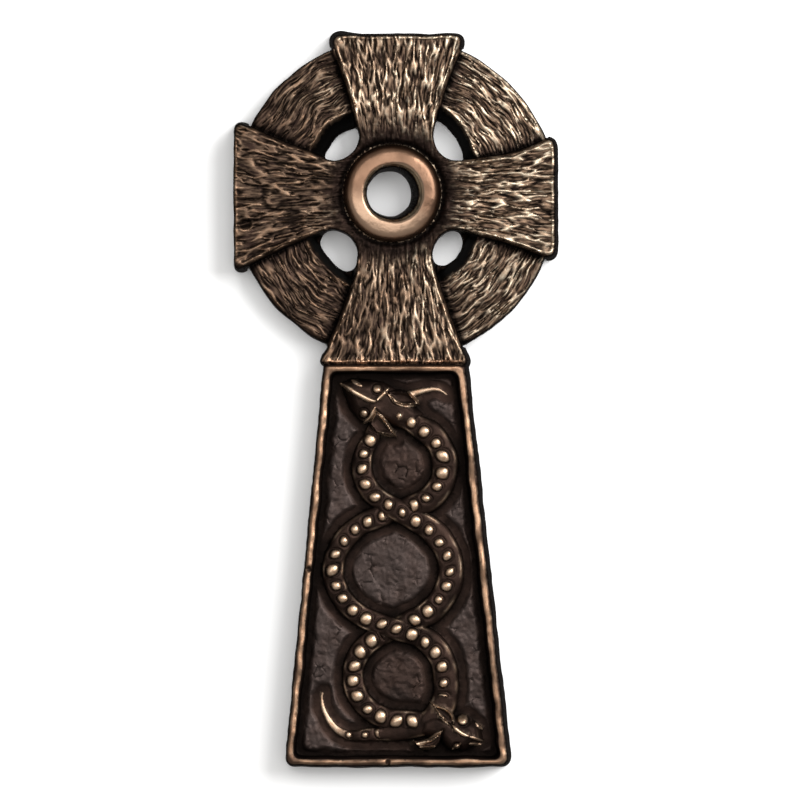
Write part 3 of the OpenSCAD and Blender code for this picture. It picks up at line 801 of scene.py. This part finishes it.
# Triangles of the flat back between all its rims.
def capFaces(rims):
    ids = np.concatenate(rims)
    flat = allPoints[ids][:, :2]
    seams, at = [], 0
    for rim in rims:
        n = len(rim)
        seams += [(at + k, at + (k + 1) % n) for k in range(n)]
        at += n
    out = delaunay_2d_cdt([Vector(p) for p in flat], seams, [], 1, 1e-6)
    verts = np.array([v[:] for v in out[0]])
    tris = np.array([f for f in out[2] if len(f) == 3])
    origin = np.array([o[0] if o else -1 for o in out[3]])
    mid = verts[tris].mean(1)
    a, b = flat, np.empty_like(flat)
    for k, (p, q) in enumerate(seams):
        b[k] = flat[q]
    hits = np.zeros(len(mid), bool)
    for k in range(0, len(mid), 2000):
        mx, my = mid[k:k + 2000, 0][:, None], mid[k:k + 2000, 1][:, None]
        spans = (a[:, 1] > my) != (b[:, 1] > my)
        with np.errstate(divide="ignore", invalid="ignore"):
            at = (b[:, 0] - a[:, 0]) * (my - a[:, 1]) / (b[:, 1] - a[:, 1]) + a[:, 0]
        hits[k:k + 2000] = (spans & (mx < at)).sum(1) % 2 == 1
    tris = tris[hits]
    for k in np.nonzero(origin < 0)[0]:  # a point met by two rims goes to the nearest one
        origin[k] = np.argmin(np.hypot(*(flat - verts[k]).T))
    tris = origin[tris]
    tris = tris[(tris[:, 0] != tris[:, 1]) & (tris[:, 1] != tris[:, 2]) & (tris[:, 2] != tris[:, 0])]
    print("triangles of the back", len(tris))
    tris = ids[tris]
    p = allPoints[tris]
    area = np.cross(p[:, 1, :2] - p[:, 0, :2], p[:, 2, :2] - p[:, 0, :2])
    tris[area > 0] = tris[area > 0][:, ::-1]
    return tris


faces3.append(capFaces(baseLoops))
print("points", total)

middleZ = highCorner.z * 1000 - cross["topReach"]  # height of the cross's middle in the frame


def toFrame(p):
    return np.stack([p[:, 0], -p[:, 2], p[:, 1] + middleZ], 1) / 1000


def makeMesh(name, verts, faceSets):
    mesh = bpy.data.meshes.new(name)
    mesh.vertices.add(len(verts))
    mesh.vertices.foreach_set("co", verts.astype(np.float32).ravel())
    flat = np.concatenate([f.ravel() for f in faceSets])
    sizes = np.concatenate([np.full(len(f), f.shape[1]) for f in faceSets])
    starts = np.concatenate([[0], np.cumsum(sizes)[:-1]])
    mesh.loops.add(len(flat))
    mesh.loops.foreach_set("vertex_index", flat.astype(np.int32))
    mesh.polygons.add(len(sizes))
    mesh.polygons.foreach_set("loop_start", starts.astype(np.int32))
    mesh.polygons.foreach_set("loop_total", sizes.astype(np.int32))
    mesh.update(calc_edges=True)
    mesh.validate()
    return mesh


fourSided = np.concatenate(faces4)
threeSided = np.concatenate(faces3)
raw = makeMesh("castCross", toFrame(allPoints), [fourSided, threeSided])
piece = bpy.data.objects.new("castCross", raw)
bpy.context.scene.collection.objects.link(piece)
triangles = len(fourSided) * 2 + len(threeSided)
thin = piece.modifiers.new("thin", "DECIMATE")
thin.ratio = cross["triangles"] / triangles
thin.use_collapse_triangulate = True
shown = piece.evaluated_get(bpy.context.evaluated_depsgraph_get())
mesh = bpy.data.meshes.new_from_object(shown)
piece.modifiers.clear()
piece.data = mesh
bpy.data.meshes.remove(raw)
mesh.name = "castCross"
print("triangles", triangles, "thinned to", len(mesh.polygons))

co = np.empty(len(mesh.vertices) * 3, np.float32)
mesh.vertices.foreach_get("co", co)
co = co.reshape(-1, 3).astype(float) * 1000
planX, planY, planH = co[:, 0], co[:, 2] - middleZ, -co[:, 1]
front = (frontDepth(planX, planY) > 0.05) & (planH > sampled(height, planX, planY) - 0.8)


def keep(name, field, elsewhere):
    values = np.where(front, sampled(field, planX, planY), elsewhere)
    attribute = mesh.attributes.new(name, "FLOAT", "POINT")
    attribute.data.foreach_set("value", values.astype(np.float32))


# Painted shade on the sloping walls of the four windows.
windowWallShade = ease(0.2, -0.5, radius - rimAt) * ease(0.1, 0.5, -inArms) * ease(20, 22, radius)
barkCleft = cleft * fade * ease(0.7, 1, onArm)
barkCleft = barkCleft + ringCleft * ease(0.3, 0, onArm) * (1 - lowPart) * (radius > rimAt)
hollow = np.maximum(hollow, 0.9 * barkCleft)
# Bark keeps a warmer tone than the panel. Painted light: the rubbed metal and the bark are drawn paler
# towards the upper right, where the key light falls, and redder and darker towards the lower left.
warmBark = np.where(onArm > 0.5, fade, 0.8 * besideArms) * np.where(inPanel > -2, 0, 1)
paintedLightUpperRight = ease(-0.7, 0.6, (X + 0.25 * Y) / 45 + 0.5 * noise(X / 12, Y / 12, 95))
paintedLightUpperRight = np.where(inShaft > 0, 0.75, paintedLightUpperRight)
# The rub share is real rubbing on the high places, drawn paler towards the upper right as painted light; on
# the boss, the ring's outer edge and the pit it also holds painted highlights.
keep("rub", rub * np.where(polish > 0, 1, 0.4 + 0.6 * paintedLightUpperRight), 0)
# Deep patina in the hollows and clefts, with painted shade on the window walls; it is also darker on the arms
# around the boss, and the side walls and back take 0.7 of the deep colour.
keep("hollow", np.clip(hollow + windowWallShade + 0.5 * (1 - fade) * ease(14.8, 15.4, hub), 0, 1), 0.7)
keep("polish", polish * (1 - 0.75 * bossDarkening), 0)
# Redder on the shaft's border and studs; on the cross the redder tone grows towards the lower left, away from
# the key light, as painted light.
keep("copper", np.clip(np.where(inShaft > 0.2, np.where(inPanel > 0, 0.5, 0.85), 0.75 * (1 - paintedLightUpperRight)), 0, 1), 0)
keep("warmBark", warmBark * (0.35 + 0.65 * paintedLightUpperRight), 0)
keep("alongGrain", np.where(onArm > 0.5, along + 61.7 * number, np.where(inShaft > 0, Y, ringAlong)), 0)
keep("acrossGrain", np.where(onArm > 0.5, across + 23.3 * number, np.where(inShaft > 0, X, ringAcross)), 0)
nearDiscs = sum(ease(loop[2] - 2, loop[2] - 4, np.hypot(X - loop[0], Y - loop[1]))
                for loop in (upperLoop, lowerLoop))
keep("hammered", plateauField * (1 - 0.7 * nearDiscs) * (0.8 + 0.4 * noise(X / 4, Y / 4, 96)), 0)
mesh.shade_smooth()
mesh.set_sharp_from_angle(angle=math.radians(66))
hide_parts("ringed_cross")


def linear(code):
    parts = [int(code[k:k + 2], 16) / 255 for k in (1, 3, 5)]
    return [p / 12.92 if p <= 0.04045 else ((p + 0.055) / 1.055) ** 2.4 for p in parts] + [1]


# Inputs are either plain values or the sockets that feed them.
def addNode(tree, kind, settings=None, inputs=None):
    node = tree.nodes.new(kind)
    for name, value in (settings or {}).items():
        setattr(node, name, value)
    for name, value in (inputs or {}).items():
        if isinstance(value, bpy.types.NodeSocket):
            tree.links.new(value, node.inputs[name])
        else:
            node.inputs[name].default_value = value
    return node


finish = {
    "patina": "#1c1512",        # thin dark brown oxide
    # deep also paints the shade on the window walls.
    "warmPatina": "#30241f",    # where it is thinner
    "deep": "#0b0807",          # thickest, in the hollows
    "ground": "#463d3a",        # greyed, hammered ground of the panel
    "bark": "#806956",          # half rubbed metal between the ridges
    "rubbed": "#b19379",        # bare metal on the ridges
    "pale": "#efe0c6",          # bare metal, brightest
    "copper": "#b58b6d",        # redder, on the border and the studs
    "boss": "#9a7861",
    # The boss's darker tone, laid on towards its right, at its outer edge and at random, and left off its
    # lower left as painted highlight.
    "bossDarkening": "#3d2c22",
    "grazing": "#5a4638",       # what the patina leaves of the gloss at a low angle
    "patchSize": 6.25,          # mm between thick and thin patches of patina
    "speckSize": 10 / 9,        # mm between specks of the cast skin, drawn coarse enough to show
    "streakLength": 10 / 3,     # mm, of the tool's streaks between the ridges
    "streakWidth": 1 / 1.9,
    "skinDepth": 0.2,           # mm, of the cast skin's unevenness
}


# Cast bronze under a dark patina that handling has rubbed off the ridges; the shares it reads also carry
# painted highlights and painted shade.
def castBronzePatina():
    material = bpy.data.materials.new("castBronzePatina")
    material.use_nodes = True
    tree = material.node_tree
    tree.nodes.clear()
    out = addNode(tree, "ShaderNodeOutputMaterial")
    share = {}
    for name in ("rub", "hollow", "polish", "hammered", "copper", "warmBark", "alongGrain", "acrossGrain"):
        share[name] = addNode(tree, "ShaderNodeAttribute", {"attribute_name": name}).outputs["Fac"]
    place = addNode(tree, "ShaderNodeTexCoord").outputs["Object"]
    patches = addNode(tree, "ShaderNodeTexNoise", {}, {
        "Scale": 1000 / finish["patchSize"], "Detail": 4, "Vector": place}).outputs["Fac"]
    specks = addNode(tree, "ShaderNodeTexNoise", {}, {
        "Scale": 1000 / finish["speckSize"], "Detail": 3, "Vector": place}).outputs["Fac"]
    flow = addNode(tree, "ShaderNodeCombineXYZ", {}, {"X": share["alongGrain"], "Y": share["acrossGrain"]})
    stretched = addNode(tree, "ShaderNodeVectorMath", {"operation": "MULTIPLY"}, {
        0: flow.outputs[0], 1: (1 / finish["streakLength"], 1 / finish["streakWidth"], 1)})
    streaks = addNode(tree, "ShaderNodeTexNoise", {}, {
        "Scale": 1.0, "Detail": 3, "Vector": stretched.outputs[0]}).outputs["Fac"]

    patchy = addNode(tree, "ShaderNodeMapRange", {}, {
        "From Min": 0.35, "From Max": 0.65, "Value": patches}).outputs[0]
    speckled = addNode(tree, "ShaderNodeMapRange", {}, {
        "From Min": 0.3, "From Max": 0.7, "Value": specks}).outputs[0]
    streaked = addNode(tree, "ShaderNodeMapRange", {}, {
        "From Min": 0.42, "From Max": 0.62, "Value": streaks}).outputs[0]
    onBoss = addNode(tree, "ShaderNodeMapRange", {}, {"From Max": 0.05, "Value": share["polish"]}).outputs[0]
    groundShare = addNode(tree, "ShaderNodeMath", {"operation": "MULTIPLY"}, {
        0: share["hammered"], 1: 0.75}).outputs[0]
    barkShare = addNode(tree, "ShaderNodeMath", {"operation": "MULTIPLY"}, {
        0: share["warmBark"], 1: streaked}).outputs[0]
    bareShare = addNode(tree, "ShaderNodeMath", {"operation": "MAXIMUM"}, {
        0: share["rub"], 1: onBoss}).outputs[0]

    # Sockets 0, 6 and 7 of a colour mix are its factor and its two colours.
    blend = {"data_type": "RGBA"}
    patina = addNode(tree, "ShaderNodeMix", blend, {
        0: patchy, 6: linear(finish["warmPatina"]), 7: linear(finish["patina"])}).outputs[2]
    for factor, over in ((groundShare, "ground"), (barkShare, "bark"), (share["hollow"], "deep")):
        patina = addNode(tree, "ShaderNodeMix", blend, {
            0: factor, 6: patina, 7: linear(finish[over])}).outputs[2]
    bare = addNode(tree, "ShaderNodeMix", blend, {
        0: speckled, 6: linear(finish["rubbed"]), 7: linear(finish["pale"])}).outputs[2]
    bare = addNode(tree, "ShaderNodeMix", blend, {
        0: share["copper"], 6: bare, 7: linear(finish["copper"])}).outputs[2]
    boss = addNode(tree, "ShaderNodeMix", blend, {
        0: share["polish"], 6: linear(finish["bossDarkening"]), 7: linear(finish["boss"])}).outputs[2]
    # On the boss the rub share is painted highlight, drawn in the pale colour.
    boss = addNode(tree, "ShaderNodeMix", blend, {
        0: share["rub"], 6: boss, 7: linear(finish["pale"])}).outputs[2]
    bare = addNode(tree, "ShaderNodeMix", blend, {0: onBoss, 6: bare, 7: boss}).outputs[2]
    colour = addNode(tree, "ShaderNodeMix", blend, {0: bareShare, 6: patina, 7: bare}).outputs[2]

    rough = addNode(tree, "ShaderNodeMapRange", {}, {"To Min": 0.5, "To Max": 0.34, "Value": bareShare})
    metal = addNode(tree, "ShaderNodeMapRange", {}, {"To Min": 0.85, "To Max": 1.0, "Value": bareShare})
    bump = addNode(tree, "ShaderNodeBump", {}, {
        "Strength": 0.35, "Distance": finish["skinDepth"] / 1000, "Height": specks})
    shader = addNode(tree, "ShaderNodeBsdfPrincipled", {}, {
        "Specular Tint": linear(finish["grazing"]), "Base Color": colour, "Roughness": rough.outputs[0],
        "Metallic": metal.outputs[0], "Normal": bump.outputs[0]})
    tree.links.new(shader.outputs[0], out.inputs[0])
    return material


mesh.materials.clear()
mesh.materials.append(castBronzePatina())
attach(piece, "root")

# Wall, light and camera.
stageValues = {
    "view": (0.0018, -2.012, -0.0975),
    "lens": 300,
    "aim": (0, 0, -0.08),
    "wallGap": 0.0006,
    "wallHalf": 3,
    "keyPower": 30,
    "fillPower": 12.5,
    "sky": 0.45,
    "skyColour": (1, 0.985, 0.96, 1),    # linear, a little warm
    "wallPaint": (0.95, 0.95, 0.95, 1),  # linear, white matt paint
}

w = stageValues["wallHalf"]
wallCorners = np.array([[-w, 0, -w], [w, 0, -w], [w, 0, w], [-w, 0, w]], float)
wallMesh = makeMesh("wall", wallCorners, [np.array([[0, 1, 2, 3]])])
wallObject = bpy.data.objects.new("wall", wallMesh)
wallObject.location = (0, stageValues["wallGap"], 0)
bpy.context.scene.collection.objects.link(wallObject)
paint = bpy.data.materials.new("whiteWallPaint")  # catches the soft shadow, and is seen from in front only
paint.use_nodes = True
tree = paint.node_tree
tree.nodes.clear()
out = addNode(tree, "ShaderNodeOutputMaterial")
ray = addNode(tree, "ShaderNodeLightPath")
face = addNode(tree, "ShaderNodeNewGeometry")
frontOnly = addNode(tree, "ShaderNodeMath", {"operation": "SUBTRACT", "use_clamp": True}, {
    0: ray.outputs["Is Camera Ray"], 1: face.outputs["Backfacing"]})
white = addNode(tree, "ShaderNodeBsdfDiffuse", {}, {"Color": stageValues["wallPaint"]})
clear = addNode(tree, "ShaderNodeBsdfTransparent")
both = addNode(tree, "ShaderNodeMixShader", {}, {
    0: frontOnly.outputs[0], 1: clear.outputs[0], 2: white.outputs[0]})
tree.links.new(both.outputs[0], out.inputs[0])
wallMesh.materials.append(paint)


def softbox(name, place, size, power):
    lamp = bpy.data.lights.new(name, "AREA")
    lamp.shape = "RECTANGLE"
    lamp.size, lamp.size_y = size
    lamp.energy = power
    holder = bpy.data.objects.new(name, lamp)
    holder.location = place
    holder.rotation_euler = (Vector(stageValues["aim"]) - Vector(place)).to_track_quat("-Z", "Y").to_euler()
    bpy.context.scene.collection.objects.link(holder)


softbox("keyLight", (0.9, -0.95, 0.45), (1.1, 1.0), stageValues["keyPower"])
softbox("fillLight", (-0.2, -1.6, 0.2), (1.4, 1.4), stageValues["fillPower"])

world = bpy.data.worlds.new("studio")
bpy.context.scene.world = world
world.use_nodes = True
tree = world.node_tree
tree.nodes.clear()
out = addNode(tree, "ShaderNodeOutputWorld")
ray = addNode(tree, "ShaderNodeLightPath")
glow = addNode(tree, "ShaderNodeBackground", {}, {
    "Color": stageValues["skyColour"], "Strength": stageValues["sky"]})
plain = addNode(tree, "ShaderNodeBackground", {}, {"Color": linear("#ffffff"), "Strength": 1.0})
both = addNode(tree, "ShaderNodeMixShader", {}, {
    0: ray.outputs["Is Camera Ray"], 1: glow.outputs[0], 2: plain.outputs[0]})
tree.links.new(both.outputs[0], out.inputs[0])

lens = bpy.data.cameras.new("camera")
lens.lens = stageValues["lens"]
lens.sensor_width = 36
lens.clip_start, lens.clip_end = 0.01, 20
camera = bpy.data.objects.new("camera", lens)
camera.location = stageValues["view"]
camera.rotation_euler = (math.pi / 2, 0, 0)
bpy.context.scene.collection.objects.link(camera)
bpy.context.scene.camera = camera
bpy.context.scene.view_settings.view_transform = "Standard"
